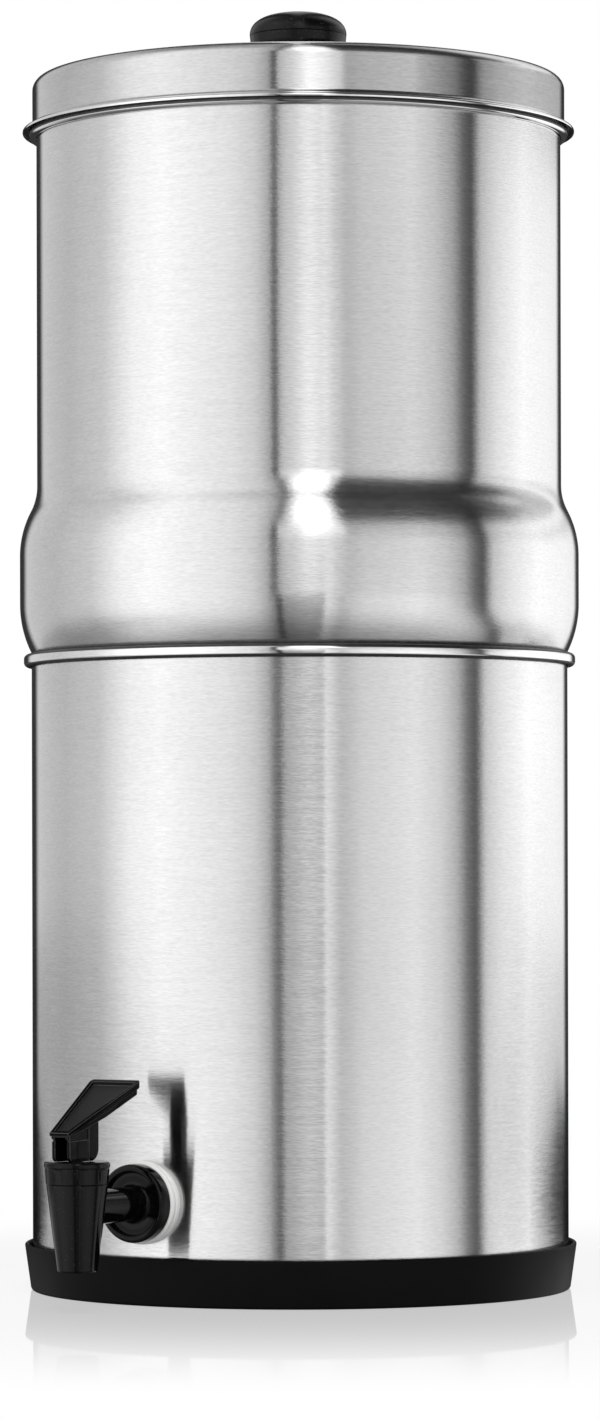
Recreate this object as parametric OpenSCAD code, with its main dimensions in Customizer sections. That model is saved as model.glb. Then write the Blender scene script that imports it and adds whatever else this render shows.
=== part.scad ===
// Gravity water filter: two stacked steel chambers, a lift-off lid, a filter element and a lever tap.
// Millimetres. +Z is up, the Z axis is the vessel's axis and the tap points along -Y.
// z = 0 is the surface that the vessel stands on.

/* [Sheet steel] */
// Sheet thickness of both chambers
steel_t = 0.8; // [0.6:0.1:1.2]
// Sheet thickness of the lid
lid_t = 0.7; // [0.5:0.1:1.0]
// Gap left where one rolled or formed steel edge rests on another
seat_gap = 0.25; // [0.15:0.05:0.5]

/* [Rubber base] */
// Thickness of the rubber floor under the lower chamber
base_floor_t = 2.5; // [2:0.5:5]
// Thickness of the rubber wall
base_wall_t = 1.8; // [1:0.1:2.5]
// Height of the rubber cup
base_h = 20; // [14:0.5:26]
// Outward lean of the rubber wall in degrees
base_lean = 8; // [2:0.2:14]
// Chamfer round the foot of the cup
base_chamfer = 1.4; // [0.5:0.1:2]
// Gap between the rubber wall and the steel where they are closest
base_gap = 0.15; // [0.1:0.05:0.5]

/* [Lower chamber] */
// Outer diameter of the wall
lower_d = 228.6; // [204:0.2:236]
// Height from the underside to the top of the rolled rim
lower_h = 268; // [230:1:320]
// Outer radius of the corner between wall and floor
lower_corner_r = 7; // [4:0.5:9]
// Width of the rolled rim
lower_bead_d = 4.1; // [3.6:0.1:5]
// Height of the flat between the rim's upper and lower rounds
lower_bead_flat = 0.6; // [0.3:0.1:2]

/* [Upper chamber] */
// Width by which the bulge above the seat exceeds the lower chamber's wall
bulge_over_d = 9.8; // [7:0.2:18]
// Step from the bulge in to the straight wall
wall_step = 7.4; // [4:0.1:12]
// Radial clearance of the neck inside the lower chamber
neck_gap = 0.8; // [0.5:0.1:1.5]
// Depth of the floor's underside below the lower rim
insert_depth = 26; // [20:1:36]
// Outer radius of the corner between neck and floor
upper_corner_r = 8; // [5:0.5:10]
// Radius of the shoulder that rests on the lower rim
shoulder_r = 46; // [36:1:50]
// Height of the straight part of the bulge
bulge_h = 20.5; // [12:0.5:40]
// Height of the curve from the bulge up to the wall
blend_h = 30; // [22:1:44]
// Height of the hollow upper part of that curve
hollow_h = 11; // [8:0.5:20]
// Height of the straight wall up to the upper round of its rim
upper_wall_h = 150; // [110:1:190]
// Width of the rolled rim
upper_bead_d = 3.8; // [3.4:0.1:4.6]
// Height of the flat between the rim's upper and lower rounds
upper_bead_flat = 0.6; // [0.3:0.1:2.5]

/* [Lid] */
// Clearance in diameter by which the lid's skirt exceeds the upper wall
lid_over_d = 3.4; // [2.4:0.2:4]
// Height of the skirt above the flare
lid_skirt_h = 20.5; // [14:0.5:30]
// Outer radius of the shoulder between top and skirt
lid_shoulder_r = 5; // [3:0.5:9]
// Rise of the top towards its centre
lid_crown_h = 3.5; // [0.5:0.5:8]
// Radial width of the flared lip
lid_flare_w = 4.2; // [3.8:0.1:6]
// Angle of the flare from the vertical in degrees
lid_flare_angle = 70; // [60:1:75]

/* [Lid knob] */
// Diameter of the head at its widest
knob_d = 41.4; // [34:0.2:50]
// Overall height
knob_h = 25.5; // [24:0.5:34]
// Height of the widest part above the lid
knob_equator_h = 15.7; // [14:0.1:18]
// Diameter of the waist that fingers reach under
knob_waist_d = 20; // [16:0.5:24]
// Diameter of the foot on the lid
knob_foot_d = 25; // [20:0.5:30]
// Thread diameter of the knob's screw
knob_screw_d = 5; // [4:0.5:6]
// Length of the screw inside the knob
knob_screw_reach = 12; // [8:0.5:14]

/* [Filter element] */
// Distance between neighbouring holes in the upper floor
hole_pitch = 80; // [74:1:90]
// Diameter of each hole in the upper floor
hole_d = 13; // [12.8:0.1:15]
// Outer diameter of the ceramic shell
filter_d = 72; // [50:1:73]
// Height of the ceramic shell above its cap
filter_h = 110; // [70:1:150]
// Wall of the ceramic shell
filter_wall = 7; // [4:0.5:10]
// Height of the plastic cap that carries the shell
filter_cap_h = 12; // [9:0.5:18]
// Depth of the socket in the cap that holds the shell
filter_socket = 6; // [3:0.5:7]
// Diameter of the threaded stem
filter_stem_d = 12; // [9:0.5:12.4]
// Length of the stem below the upper floor
filter_stem_drop = 28; // [22:1:40]
// Thickness of the sealing washer
filter_washer_t = 3; // [2:0.5:4]
// Span of the wing nut across its wings
wing_span = 38; // [28:1:44]
// Depth of the wing nut's wings below the floor
wing_drop = 15; // [12:1:20]
// Width by which a plug's head exceeds its hole
plug_over_d = 9; // [6:0.5:12]
// Thickness of a plug's head
plug_head_t = 2.6; // [2:0.1:4]
// Depth of a plug below the floor
plug_drop = 9; // [6:0.5:12]

/* [Tap mounting] */
// Height of the tap's hole above the lower chamber's underside
tap_rise = 40; // [36:1:60]
// Diameter of the hole in the wall
tap_hole_d = 16.6; // [16.4:0.1:18]
// Diameter of the threaded shank
shank_d = 16; // [14:0.2:16.2]
// Length of the shank inside the vessel
shank_in = 19; // [16:0.5:24]
// Diameter of the outer washer
washer_d = 34; // [30:0.5:38]
// Thickness of the outer washer at its middle
washer_t = 4.2; // [3:0.1:6]
// Diameter of the flange
flange_d = 32.2; // [28:0.2:36]
// Thickness of the flange
flange_t = 6; // [5:0.2:8]
// Diameter of the inner washer
inner_washer_d = 26; // [24:0.5:30]
// Thickness of the inner washer at its middle
inner_washer_t = 3; // [2:0.5:4]
// Width of the hexagonal nut across its flats
tap_nut_flats = 24; // [21:0.5:28]
// Thickness of the nut
tap_nut_t = 8; // [6:0.5:10]

/* [Tap body] */
// Distance from the vessel's wall to the spout's axis
tap_reach = 46.4; // [44:0.2:60]
// Diameter of the arm between flange and spout
arm_d = 14.1; // [12:0.1:15]
// Diameter of the water passage in the arm
arm_bore_d = 8.6; // [6:0.2:9]
// Distance from the arm's axis down to the spout's tip
spout_drop = 25.5; // [22:0.5:32]
// Diameter of the spout at its tip
spout_tip_d = 16.2; // [15:0.1:18]
// Diameter of the spout under the bonnet
spout_top_d = 25; // [24:0.2:28]
// Distance from the arm's axis up to the bonnet
spout_rise = 9.8; // [8.5:0.1:13]
// Diameter of the outlet
outlet_d = 11; // [9:0.2:12]
// Height of the outlet's bore
outlet_h = 11; // [8:0.5:12]
// Diameter of the opening in the valve seat
seat_hole_d = 7; // [5:0.2:8]
// Diameter of the chamber that the valve works in
valve_bore_d = 17; // [15.5:0.1:17.6]

/* [Tap valve] */
// Height of the bonnet
bonnet_h = 9.3; // [8:0.1:12]
// Diameter of the bonnet at its top
bonnet_top_d = 27; // [26:0.2:30]
// Thickness of the bonnet's top plate
bonnet_plate_t = 3; // [2:0.1:4]
// Diameter of the valve stem
stem_d = 4.6; // [4:0.1:5]
// Diameter of the cross pin that the lever turns on
pin_d = 2.2; // [1.8:0.1:2.6]
// Height of the cross pin above the bonnet
pin_h = 5; // [4.4:0.1:6]
// Outer diameter of the silicone seat cup
cup_d = 12; // [11:0.2:12.6]
// Wall of the seat cup
cup_wall = 1; // [0.8:0.1:1.4]
// Wire diameter of the closing spring
spring_wire_d = 0.8; // [0.5:0.1:0.9]
// Number of turns of the closing spring
spring_turns = 6; // [4:1:8]

/* [Tap lever] */
// Length of the thumb paddle along its slope
paddle_len = 44.2; // [36:0.5:50]
// Slope of the paddle in degrees
paddle_slope = 27; // [22:1:32]
// Width of the paddle's front end
paddle_front_w = 9.3; // [9.2:0.1:14]
// Width of the paddle's back end
paddle_back_w = 25.2; // [18:0.2:32]
// Thickness of the paddle
paddle_t = 4.4; // [3.8:0.1:6]
// Height of the paddle's front edge
paddle_nose_h = 2.6; // [2.2:0.1:4]
// Distance from the spout's axis forward to the paddle's front edge
paddle_front = 12.4; // [11.5:0.1:14]
// Height of the paddle's front edge above the bonnet
paddle_rise = 11.8; // [11.4:0.1:15]
// Depth of the thumb recess
recess_depth = 1.5; // [0.5:0.1:1.8]
// Width of the rim round the thumb recess
recess_rim = 1.7; // [1.2:0.1:2.6]
// Width of the fork under the paddle
fork_w = 9; // [8.6:0.1:9]
// Width of the slot in the fork
fork_slot_w = 6; // [5.4:0.1:6.2]
// Reach of the fork in front of the spout's axis
fork_front = 10.9; // [9.5:0.1:11.4]
// Distance of the rolling heel's centre behind the pin
heel_back = 3.6; // [3.4:0.1:4.6]
// Thickness left between the fork's slot and the top of the paddle's front edge
slot_roof = 1.7; // [1.6:0.1:2.4]

/* [Hidden] */

$fn = 96;
wall_fn = 720;    // finer circle for the washers' faces that fit the wall
arc_step = 7.5;   // degrees between the points of a round stretch
corner_step = 15; // degrees between the points of a small corner
edge_step = 30;   // degrees between the points of a rounded edge
curl_step = 20;   // degrees between the points of a rolled rim
curl_end = -115;  // angle at which a rolled rim stops under itself
slip = 0.1;       // clearance where one piece slips into another
run_gap = 0.05;   // radial running clearance of a pin
far = 400;        // longer than anything that is cut

steel = [0.78, 0.78, 0.77];
black_plastic = [0.05, 0.05, 0.05];
black_rubber = [0.07, 0.07, 0.07];
white_silicone = [0.93, 0.93, 0.91];
ceramic = [0.94, 0.93, 0.90];
white_plastic = [0.90, 0.91, 0.92];
carbon = [0.10, 0.10, 0.11];

// --- places worked out from the driving dimensions ---
lower_r = lower_d / 2;
lower_in_r = lower_r - steel_t;
lower_z = base_floor_t;
lower_top_z = lower_z + lower_h;
lower_bead_r = lower_bead_d / 2;
lower_bead_rc = lower_in_r + lower_bead_r;
lower_bead_z = lower_top_z - lower_bead_r;

base_corner_rc = lower_r - lower_corner_r;
base_corner_z = lower_z + lower_corner_r;

bulge_r = lower_r + bulge_over_d / 2;
upper_r = bulge_r - wall_step;
neck_r = lower_in_r - neck_gap;
upper_z = lower_top_z - insert_depth;
upper_floor_z = upper_z + steel_t;
shoulder_rc = bulge_r - shoulder_r;
shoulder_z = lower_bead_z + sqrt(pow(shoulder_r + lower_bead_r + seat_gap, 2)
    - pow(lower_bead_rc - shoulder_rc, 2));
shoulder_angle = acos((neck_r - shoulder_rc) / shoulder_r);
blend_z = shoulder_z + bulge_h;
wall_z = blend_z + blend_h;
blend_angle = 2 * atan((bulge_r - upper_r) / blend_h);
blend_r = (blend_h - hollow_h) / sin(blend_angle);
hollow_r = hollow_h / sin(blend_angle);
upper_bead_r = upper_bead_d / 2;
upper_bead_rc = upper_r - steel_t + upper_bead_r;
upper_bead_z = wall_z + upper_wall_h;

lid_r = upper_r + lid_over_d / 2;
lip_r = lid_r + lid_flare_w;
flare_z = upper_bead_z + (upper_bead_r + seat_gap + lid_t
    - (lid_r - upper_bead_rc) * cos(lid_flare_angle)) / sin(lid_flare_angle);
flare_in_r = 1.2;   // radius of the bend where the skirt turns out
flare_out_r = 1.8;  // radius of the bend where the flare turns down towards its edge
flare_tip = 5;      // angle of the flare's edge from the vertical
lid_edge_z = flare_z + lid_skirt_h;
lid_top_z = lid_edge_z + lid_crown_h;

filter_x = -hole_pitch / 2;
filter_y = hole_pitch / 2;
cap_z = upper_floor_z + filter_washer_t;
shell_z = cap_z + filter_cap_h - filter_socket;
cap_d = filter_d + 5;
dome_r = filter_d / 3;                 // round of the shell's outer corner
cavity_dome_r = dome_r - filter_wall / 2;
stem_bottom_z = upper_z - filter_stem_drop;

tap_z = lower_z + tap_rise;
spout_y = -(lower_r + tap_reach);
washer_face = lower_r + washer_t;      // distance of the flange's back from the vessel's axis
flange_face = washer_face + flange_t;
inner_washer_face = lower_in_r - inner_washer_t;
shank_end = lower_in_r - shank_in;
spout_z = tap_z - spout_drop;
neck_z = tap_z + spout_rise;           // top of the spout's cone, where the bonnet starts
bonnet_top_z = neck_z + bonnet_h;
plate_z = bonnet_top_z - bonnet_plate_t;
cup_flange_t = 1.2;                    // thickness of the cup's rim under the bonnet
body_top_z = plate_z - cup_flange_t;
body_neck_r = spout_top_d / 2 - 2;     // radius of the threaded neck inside the bonnet
seat_z = spout_z + outlet_h + 5;       // height of the valve seat
cup_floor_t = 3;                       // thickness of the cup's plug
cup_floor_z = seat_z + cup_floor_t;
stem_foot_z = cup_floor_z + 3.6;       // underside of the collar that the spring presses on
stem_foot_t = 1.4;
spring_r = stem_d / 2 + 1.4;           // mean radius of the spring
pin_z = bonnet_top_z + pin_h;
pin_len = fork_slot_w + 2;
lever_gap = 0.1;                       // gap between the lever's heel and the bonnet
heel_r = pin_h - lever_gap;            // radius of the heel that rolls on the bonnet
fork_back = heel_back + heel_r;        // reach of the fork behind the spout's axis
paddle_end = paddle_len * cos(paddle_slope) - paddle_front;  // back end of the paddle, behind the spout's axis

// --- shared shapes ---

// Points on a circle round [r, z] from angle a to angle b
function arc(r, z, radius, a, b, step = arc_step) =
    let (count = max(2, ceil(abs(b - a) / step)))
    [for (i = [0:count]) [r + radius * cos(a + (b - a) * i / count), z + radius * sin(a + (b - a) * i / count)]];

function reversed(points) = [for (i = [len(points) - 1:-1:0]) points[i]];

// One skin of a chamber's rolled rim, from the wall over the top; t is the depth below the outer skin
function rim_skin(rc, z, bead_r, flat, t) = concat(
    arc(rc, z, bead_r - t, 180, 0, curl_step),
    arc(rc, z - flat, bead_r - t, 0, curl_end, curl_step)
);

// A solid of revolution whose section lies between two skins
module between_skins(outside, inside) {
    rotate_extrude()
        polygon(concat(outside, reversed(inside)));
}

// Places its children at the tap's hole, with their +Z along the way that the tap points
module on_tap_axis() {
    translate([0, 0, tap_z])
        rotate([90, 0, 0])
            children();
}

module at_spout() {
    translate([0, spout_y, 0])
        children();
}

// A flat ring that stands on z = 0
module ring(outer_r, inner_r, height) {
    difference() {
        cylinder(r = outer_r, h = height);
        translate([0, 0, -1])
            cylinder(r = inner_r, h = height + 2);
    }
}

// --- rubber base ---

// Inner radius of the rubber wall at a height, which just clears the lower chamber's round corner
function base_in_r(z) =
    base_corner_rc + (lower_corner_r + base_gap) / cos(base_lean) + tan(base_lean) * (z - base_corner_z);

module rubber_base() {
    lip = base_wall_t / 2;
    color(black_rubber)
        rotate_extrude()
            polygon(concat(
                [[0, 0], [base_in_r(base_chamfer) + base_wall_t - base_chamfer, 0]],
                [[base_in_r(base_chamfer) + base_wall_t, base_chamfer]],
                arc(base_in_r(base_h - lip) + lip, base_h - lip, lip, 0, 180, edge_step),
                [[base_in_r(base_floor_t), base_floor_t], [0, base_floor_t]]
            ));
}

// --- lower chamber ---

// One skin of the lower chamber from the floor's middle to the rim; t is the depth below the outer skin
function lower_skin(t) = concat(
    [[0, lower_z + t]],
    arc(base_corner_rc, base_corner_z, lower_corner_r - t, -90, 0, corner_step),
    rim_skin(lower_bead_rc, lower_bead_z, lower_bead_r, lower_bead_flat, steel_t - t)
);

module lower_chamber() {
    color(steel)
        difference() {
            between_skins(lower_skin(0), lower_skin(steel_t));
            on_tap_axis()
                translate([0, 0, lower_r / 2])
                    cylinder(d = tap_hole_d, h = lower_r);
        }
}

// --- tap fixing ---

module tap_outer_washer() {
    color(white_silicone)
        difference() {
            on_tap_axis()
                translate([0, 0, lower_r / 2])
                    ring(washer_d / 2, shank_d / 2 + slip, washer_face - lower_r / 2);
            cylinder(r = lower_r + slip, h = far, $fn = wall_fn);
        }
}

module tap_inner_washer() {
    color(white_silicone)
        intersection() {
            on_tap_axis()
                translate([0, 0, inner_washer_face])
                    ring(inner_washer_d / 2, shank_d / 2 + slip, washer_t + inner_washer_t);
            cylinder(r = lower_in_r - slip, h = far, $fn = wall_fn);
        }
}

module tap_nut() {
    rim_t = 2;
    color(black_plastic)
        on_tap_axis()
            translate([0, 0, inner_washer_face - tap_nut_t])
                difference() {
                    union() {
                        cylinder(d = tap_nut_flats / cos(30), h = tap_nut_t, $fn = 6);
                        translate([0, 0, tap_nut_t - rim_t])
                            cylinder(d = tap_nut_flats / cos(30), h = rim_t);
                    }
                    translate([0, 0, -1])
                        cylinder(r = shank_d / 2 + slip, h = tap_nut_t + 2);
                }
}

// --- tap body ---

// Section of shank, flange and arm; the dish in the flange's face runs in to the arm
module flange_and_arm() {
    rim = 2.6;   // width of the flat rim round the dish
    round_r = 1.6;
    dish = 2.2;  // depth of the dish below the rim
    rotate_extrude()
        polygon(concat(
            [[0, shank_end], [shank_d / 2 - 1, shank_end], [shank_d / 2, shank_end + 1]],
            [[shank_d / 2, washer_face], [flange_d / 2, washer_face]],
            arc(flange_d / 2 - round_r, flange_face - round_r, round_r, 0, 90, corner_step),
            [[flange_d / 2 - rim - 0.8, flange_face], [flange_d / 2 - rim - 1.6, flange_face - dish]],
            [[arm_d / 2 + 2, flange_face - dish]],
            arc(arm_d / 2 + 2, flange_face - dish + 2, 2, -90, -180, corner_step),
            [[arm_d / 2, lower_r + tap_reach], [0, lower_r + tap_reach]]
        ));
}

module spout_cone() {
    tip_r = 1;
    rotate_extrude()
        polygon(concat(
            [[0, spout_z]],
            arc(spout_tip_d / 2 - tip_r, spout_z + tip_r, tip_r, -90, 0, corner_step),
            [[spout_top_d / 2, neck_z], [body_neck_r, neck_z], [body_neck_r, body_top_z], [0, body_top_z]]
        ));
}

module tap_body() {
    color(black_plastic)
        difference() {
            union() {
                on_tap_axis()
                    flange_and_arm();
                at_spout()
                    spout_cone();
            }
            on_tap_axis()
                translate([0, 0, shank_end - 1])
                    cylinder(d = arm_bore_d, h = lower_r + tap_reach - shank_end + 1);
            at_spout() {
                translate([0, 0, seat_z])
                    cylinder(d = valve_bore_d, h = far);
                translate([0, 0, spout_z])
                    cylinder(d = seat_hole_d, h = far / 2);
                translate([0, 0, spout_z - 1])
                    cylinder(d = outlet_d, h = outlet_h + 1);
            }
        }
}

// --- tap valve ---

module tap_bonnet() {
    top_round = 0.9;
    hole_r = stem_d / 2 + slip;
    skirt_r = body_neck_r + slip;
    color(black_plastic)
        at_spout()
            rotate_extrude()
                polygon(concat(
                    [[skirt_r, neck_z + slip], [spout_top_d / 2 + 0.1, neck_z + slip]],
                    arc(bonnet_top_d / 2 - top_round, bonnet_top_z - top_round, top_round, 0, 90, edge_step),
                    [[hole_r, bonnet_top_z], [hole_r, plate_z], [skirt_r, plate_z]]
                ));
}

// Thin silicone cup: its rim is clamped under the bonnet and its plug closes the seat
module seat_cup() {
    cup_r = cup_d / 2;
    socket_r = stem_d / 2 + run_gap;
    color(white_silicone)
        at_spout()
            rotate_extrude()
                polygon([
                    [0, seat_z], [seat_hole_d / 2 + 0.8, seat_z], [cup_r, seat_z + 2.5],
                    [cup_r, body_top_z - 3], [valve_bore_d / 2 - slip, body_top_z],
                    [body_neck_r - slip, body_top_z], [body_neck_r - slip, plate_z],
                    [valve_bore_d / 2 - 1.8, plate_z], [cup_r - cup_wall, body_top_z - 2.4],
                    [cup_r - cup_wall, stem_foot_z], [socket_r, stem_foot_z], [socket_r, cup_floor_z],
                    [0, cup_floor_z]
                ]);
}

module valve_stem() {
    head_z = pin_z + pin_d / 2 + 1.4;
    collar_r = cup_d / 2 - cup_wall - 0.2;
    color(black_plastic)
        at_spout()
            difference() {
                rotate_extrude()
                    polygon([
                        [0, cup_floor_z + slip], [stem_d / 2, cup_floor_z + slip],
                        [stem_d / 2, stem_foot_z + slip], [collar_r, stem_foot_z + slip],
                        [collar_r, stem_foot_z + stem_foot_t], [stem_d / 2, stem_foot_z + stem_foot_t],
                        [stem_d / 2, head_z - 0.8], [stem_d / 2 - 0.8, head_z], [0, head_z]
                    ]);
                translate([0, 0, pin_z])
                    rotate([0, 90, 0])
                        cylinder(d = pin_d, h = stem_d + 2, center = true);
            }
}

module stem_pin() {
    color(steel)
        at_spout()
            translate([0, 0, pin_z])
                rotate([0, 90, 0])
                    cylinder(d = pin_d, h = pin_len, center = true);
}

// Points of one ring of the spring's wire, square to the axis of the coil's section
function coil_ring(turn, z, sides) =
    [for (s = [0:sides - 1])
        let (across = spring_r + spring_wire_d / 2 * cos(360 * s / sides))
        [across * cos(360 * turn), across * sin(360 * turn), z + spring_wire_d / 2 * sin(360 * s / sides)]];

module valve_spring() {
    sides = 8;
    rings = spring_turns * 14;
    low_z = stem_foot_z + stem_foot_t + spring_wire_d / 2 + slip;
    high_z = plate_z - spring_wire_d / 2 - slip;
    points = [for (i = [0:rings])
        each coil_ring(i / 14, low_z + (high_z - low_z) * i / rings, sides)];
    skin = [for (i = [0:rings - 1], s = [0:sides - 1])
        let (a = i * sides + s, b = i * sides + (s + 1) % sides)
        [a, a + sides, b + sides, b]];
    color(steel)
        at_spout()
            polyhedron(points, concat(
                skin,
                [[for (s = [0:sides - 1]) s]],
                [[for (s = [sides - 1:-1:0]) rings * sides + s]]
            ));
}

// --- tap lever ---

// Height of the paddle's top face at a distance y behind the spout's axis
function paddle_top(y) = bonnet_top_z + paddle_rise + (y + paddle_front) * tan(paddle_slope);

// Half the paddle's width at a distance y behind the spout's axis
function paddle_half(y) =
    (paddle_front_w + (paddle_back_w - paddle_front_w) * (y + paddle_front) / (paddle_end + paddle_front)) / 2;

// A plate across the lever from a side view, in which x is the distance behind the spout's axis
module across(width) {
    rotate([90, 0, 90])
        linear_extrude(width, center = true)
            children();
}

// Upright prism over the paddle's outline, drawn in by the width of a rim
module over_outline(rim) {
    front = rim - paddle_front;
    back = paddle_end - rim;
    linear_extrude(far)
        polygon([
            [rim - paddle_half(front), front], [paddle_half(front) - rim, front],
            [paddle_half(back) - rim, back], [rim - paddle_half(back), back]
        ]);
}

module paddle() {
    drop = paddle_t / cos(paddle_slope);
    difference() {
        intersection() {
            over_outline(0);
            across(2 * paddle_back_w)
                polygon([
                    [-paddle_front, paddle_top(-paddle_front)], [paddle_end, paddle_top(paddle_end)],
                    [paddle_end, paddle_top(paddle_end) - drop], [fork_back, paddle_top(fork_back) - drop],
                    [-paddle_front, paddle_top(-paddle_front) - paddle_nose_h]
                ]);
        }
        intersection() {
            over_outline(recess_rim);
            across(2 * paddle_back_w)
                polygon([
                    [-paddle_front, paddle_top(-paddle_front) - recess_depth],
                    [paddle_end, paddle_top(paddle_end) - recess_depth],
                    [paddle_end, 2 * paddle_top(paddle_end)], [-paddle_front, 2 * paddle_top(paddle_end)]
                ]);
        }
    }
}

// Side view of the fork: round toe, heel that rolls on the bonnet, and a top that ends inside the paddle
module fork_profile() {
    foot_z = bonnet_top_z + lever_gap;
    toe_r = 2.2;
    inside = 0.9;   // how far the fork reaches up into the paddle's underside
    drop = paddle_t / cos(paddle_slope);
    polygon(concat(
        arc(toe_r - fork_front, foot_z + toe_r, toe_r, 180, 270, corner_step),
        arc(heel_back, pin_z, heel_r, -90, 0),
        [[fork_back, paddle_top(fork_back) - drop + inside]],
        [[-fork_front, paddle_top(-fork_front) - paddle_nose_h + inside]]
    ));
}

module lever_handle() {
    slot_back = 5.8;    // reach of the slot behind the pin
    slot_top = paddle_top(-paddle_front) - slot_roof;
    pocket = 0.7;       // depth of the pockets in the fork's sides
    pocket_z = pin_z + 3.2;
    color(black_plastic)
        difference() {
            at_spout() {
                paddle();
                across(fork_w)
                    fork_profile();
            }
            at_spout() {
                translate([-fork_slot_w / 2, -fork_front - 2, bonnet_top_z - 1])
                    cube([fork_slot_w, fork_front + 2 + slot_back, slot_top - bonnet_top_z + 1]);
                translate([0, 0, pin_z])
                    rotate([0, 90, 0])
                        cylinder(d = pin_d + 2 * run_gap, h = pin_len + 2 * slip, center = true);
                for (side = [-1, 1])
                    translate([side * fork_w / 2, 0, 0])
                        across(2 * pocket)
                            polygon([
                                [3 - fork_front, pocket_z], [3, pocket_z + 0.6], [3, pocket_z + 4.6]
                            ]);
            }
        }
}

// --- upper chamber ---

// One skin of the upper chamber from the floor's middle to the rim; t is the depth below the outer skin
function upper_skin(t) = concat(
    [[0, upper_z + t]],
    arc(neck_r - upper_corner_r, upper_z + upper_corner_r, upper_corner_r - t, -90, 0, corner_step),
    [[neck_r - t, shoulder_z - shoulder_r * sin(shoulder_angle) - t]],
    arc(shoulder_rc, shoulder_z, shoulder_r - t, -shoulder_angle + 1, 0, 5),
    arc(bulge_r - blend_r, blend_z, blend_r - t, 0, blend_angle, 4),
    arc(upper_r + hollow_r, wall_z, hollow_r + t, 180 + blend_angle, 180, 4),
    rim_skin(upper_bead_rc, upper_bead_z, upper_bead_r, upper_bead_flat, steel_t - t)
);

// The four holes for filter elements, as [x, y]; the first carries the element
hole_places = [
    [filter_x, filter_y], [-filter_x, filter_y], [-filter_x, -filter_y], [filter_x, -filter_y]
];

module upper_chamber() {
    color(steel)
        difference() {
            between_skins(upper_skin(0), upper_skin(steel_t));
            for (place = hole_places)
                translate([place[0], place[1], upper_z - 1])
                    cylinder(d = hole_d, h = steel_t + 2);
        }
}

// --- filter element ---

module at_filter() {
    translate([filter_x, filter_y, 0])
        children();
}

// A closed dome on a straight wall, r across and h high
module domed_cylinder(r, h, edge_r) {
    rotate_extrude()
        polygon(concat(
            [[0, 0], [r, 0]],
            arc(r - edge_r, h - edge_r, edge_r, 0, 90, 10),
            [[0, h]]
        ));
}

module filter_shell() {
    color(ceramic)
        at_filter()
            translate([0, 0, shell_z])
                difference() {
                    domed_cylinder(filter_d / 2, filter_h, dome_r);
                    translate([0, 0, -1])
                        domed_cylinder(filter_d / 2 - filter_wall, filter_h - filter_wall + 1, cavity_dome_r);
                }
}

module filter_carbon() {
    core_r = filter_d / 2 - filter_wall - 1;
    color(carbon)
        at_filter()
            translate([0, 0, shell_z + slip])
                difference() {
                    domed_cylinder(core_r, filter_h - filter_wall - 3, cavity_dome_r);
                    translate([0, 0, -1])
                        cylinder(r = filter_stem_d / 3, h = filter_h / 2);
                }
}

// Plastic cap with a socket for the shell and the threaded stem below
module filter_cap() {
    socket_r = filter_d / 2 + slip;
    passage_r = filter_stem_d / 2 - 2.2;
    color(white_plastic)
        at_filter()
            rotate_extrude()
                polygon([
                    [passage_r, stem_bottom_z], [filter_stem_d / 2 - 1, stem_bottom_z],
                    [filter_stem_d / 2, stem_bottom_z + 1], [filter_stem_d / 2, cap_z],
                    [cap_d / 2 - 1.5, cap_z], [cap_d / 2, cap_z + 1.5],
                    [cap_d / 2, cap_z + filter_cap_h - 0.6], [cap_d / 2 - 0.6, cap_z + filter_cap_h],
                    [socket_r, cap_z + filter_cap_h], [socket_r, shell_z], [passage_r, shell_z]
                ]);
}

module filter_washer() {
    color(black_rubber)
        at_filter()
            translate([0, 0, upper_floor_z])
                ring(hole_d / 2 + 7, filter_stem_d / 2 + slip, filter_washer_t);
}

module filter_wing_nut() {
    boss_d = filter_stem_d + 8;
    boss_h = 10;
    wing_t = 3.4;
    color(white_plastic)
        at_filter()
            difference() {
                union() {
                    translate([0, 0, upper_z - boss_h])
                        cylinder(d = boss_d, h = boss_h);
                    translate([0, 0, upper_z - 2.4])
                        cylinder(d = boss_d + 5, h = 2.4);
                    rotate([90, 0, 0])
                        linear_extrude(wing_t, center = true)
                            polygon([
                                [-boss_d / 2, upper_z - 3], [boss_d / 2, upper_z - 3],
                                [wing_span / 2 - 2, upper_z - 5], [wing_span / 2, upper_z - 8],
                                [wing_span / 2, upper_z - wing_drop + 3],
                                [wing_span / 2 - 3, upper_z - wing_drop],
                                [boss_d / 2, upper_z - boss_h], [-boss_d / 2, upper_z - boss_h],
                                [3 - wing_span / 2, upper_z - wing_drop],
                                [-wing_span / 2, upper_z - wing_drop + 3],
                                [-wing_span / 2, upper_z - 8], [2 - wing_span / 2, upper_z - 5]
                            ]);
                }
                translate([0, 0, upper_z - wing_drop - 1])
                    cylinder(r = filter_stem_d / 2 + slip, h = wing_drop + 2);
            }
}

// Rubber plug: a flat head inside the chamber, a waist in the hole and a tapered barb below
module hole_plug() {
    head_r = (hole_d + plug_over_d) / 2;
    waist_r = hole_d / 2 - slip;
    barb_r = hole_d / 2 + 1;
    rotate_extrude()
        polygon([
            [0, upper_z - plug_drop], [waist_r - 2.4, upper_z - plug_drop], [barb_r, upper_z - 2.4],
            [barb_r, upper_z - 1.2], [waist_r, upper_z - slip], [waist_r, upper_floor_z],
            [head_r, upper_floor_z], [head_r, upper_floor_z + plug_head_t - 0.8],
            [head_r - 0.8, upper_floor_z + plug_head_t], [0, upper_floor_z + plug_head_t]
        ]);
}

module hole_plugs() {
    color(black_rubber)
        for (i = [1:3])
            translate([hole_places[i][0], hole_places[i][1], 0])
                hole_plug();
}

// --- lid ---

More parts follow.
